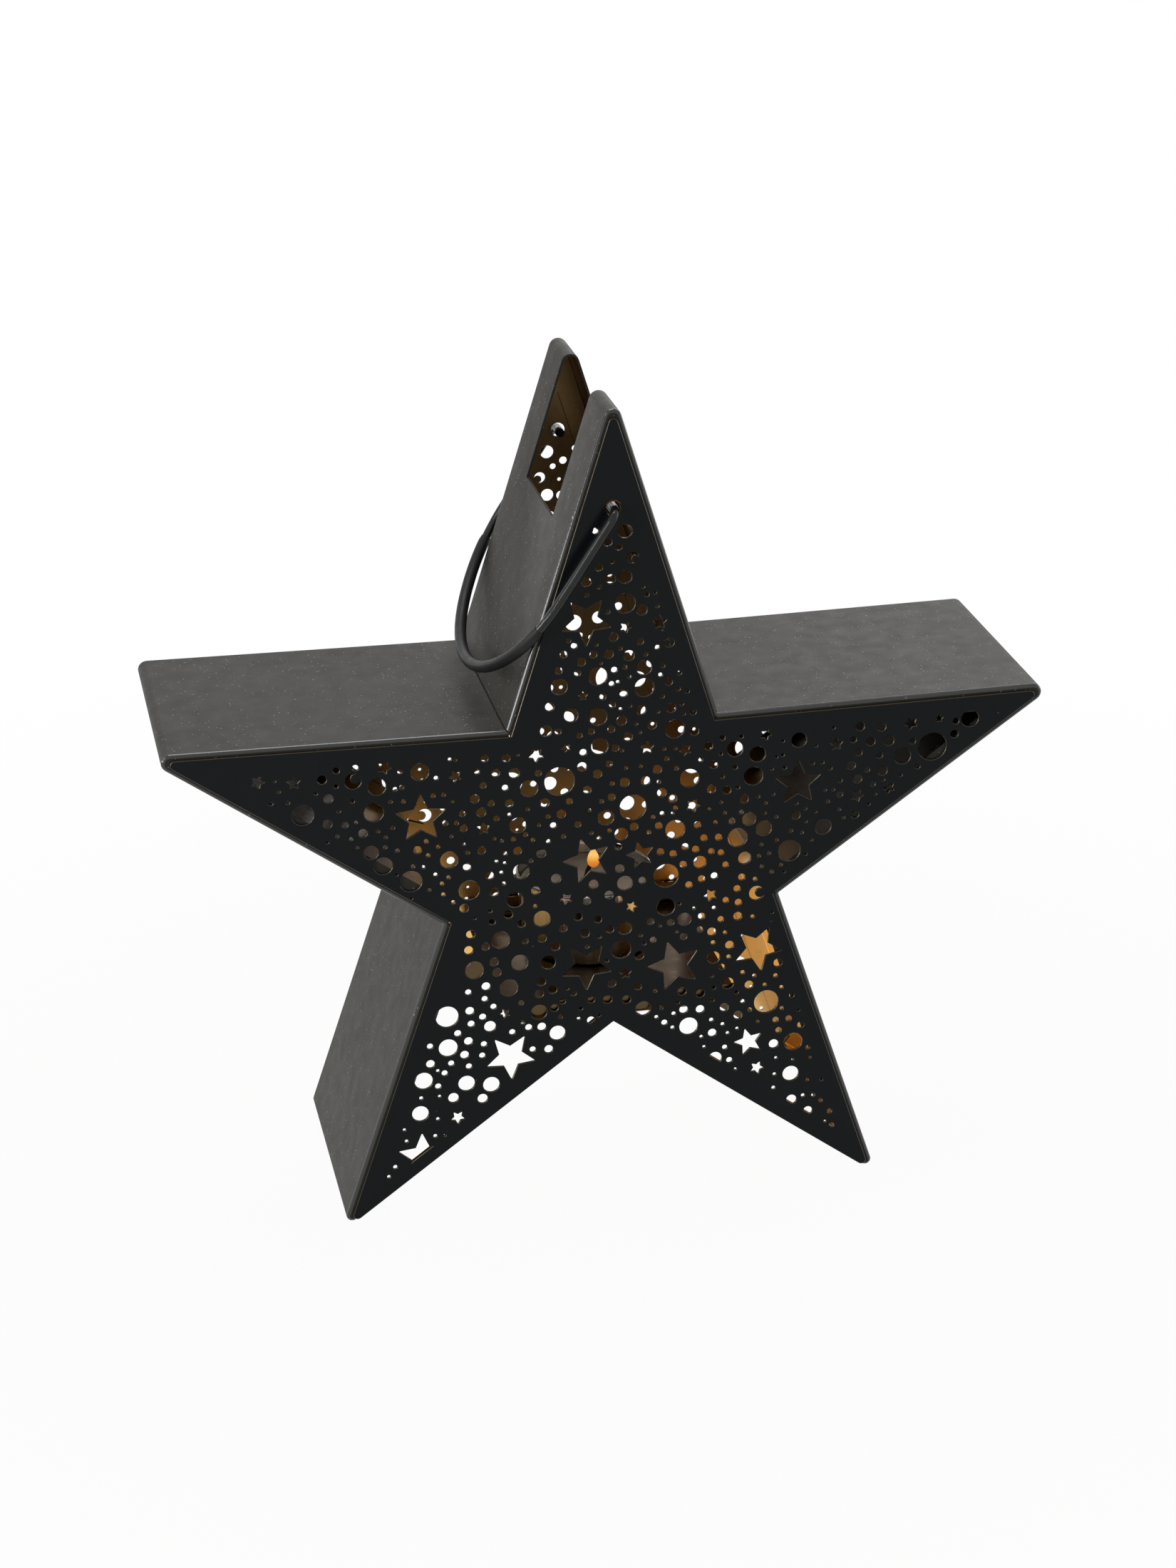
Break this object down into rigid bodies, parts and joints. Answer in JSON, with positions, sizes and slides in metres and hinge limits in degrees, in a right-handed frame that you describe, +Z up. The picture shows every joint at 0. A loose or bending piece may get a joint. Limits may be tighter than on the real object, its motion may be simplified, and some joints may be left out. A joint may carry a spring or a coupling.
{
  "type": "star lantern",
  "caption": "Star-shaped sheet-metal candle lantern with pierced star-and-dot faces, a chimney window at the top point, a swinging wire handle and a removable tealight.",
  "frame": {"origin": "on the table, midway between the feet and midway between the two faces", "axes": "+X to the right of a viewer facing the front panel, +Y from the front panel to the back panel, +Z up to the top point"},
  "size_m": [0.2292, 0.0792, 0.2193],
  "materials": {
    "black_paint": "satin black powder coat over steel sheet",
    "bronze_paint": "bronze-gold sprayed paint on steel sheet",
    "black_wire": "glossy black paint on steel wire",
    "grip_sleeve": "matte black tubing",
    "cup_aluminium": "thin rolled aluminium",
    "wax": "soft translucent paraffin wax",
    "wick_cotton": "charred braided cotton",
    "tinplate": "thin tinplate"
  },
  "bodies": {
    "lantern_body": {"front_panel": "black_paint", "back_panel": "black_paint", "left_side_band": "black_paint", "right_side_band": "black_paint", "candle_tray": "bronze_paint"},
    "handle": {"handle_wire": "black_wire", "handle_grip": "grip_sleeve"},
    "tealight": {"tealight_cup": "cup_aluminium", "tealight_wax": "wax", "wick": "wick_cotton", "wick_sustainer": "tinplate"}
  },
  "joints": [
    {"name": "handle_swing", "type": "hinge", "parent": "lantern_body", "child": "handle", "pos_m": [0, 0, 0.1939], "axis": [0, 1, 0], "range_deg": [0, 293.5]},
    {"name": "tealight_lift", "type": "slide", "parent": "lantern_body", "child": "tealight", "axis": [0, 0, 1], "range_m": [0, 0.05]}
  ]
}
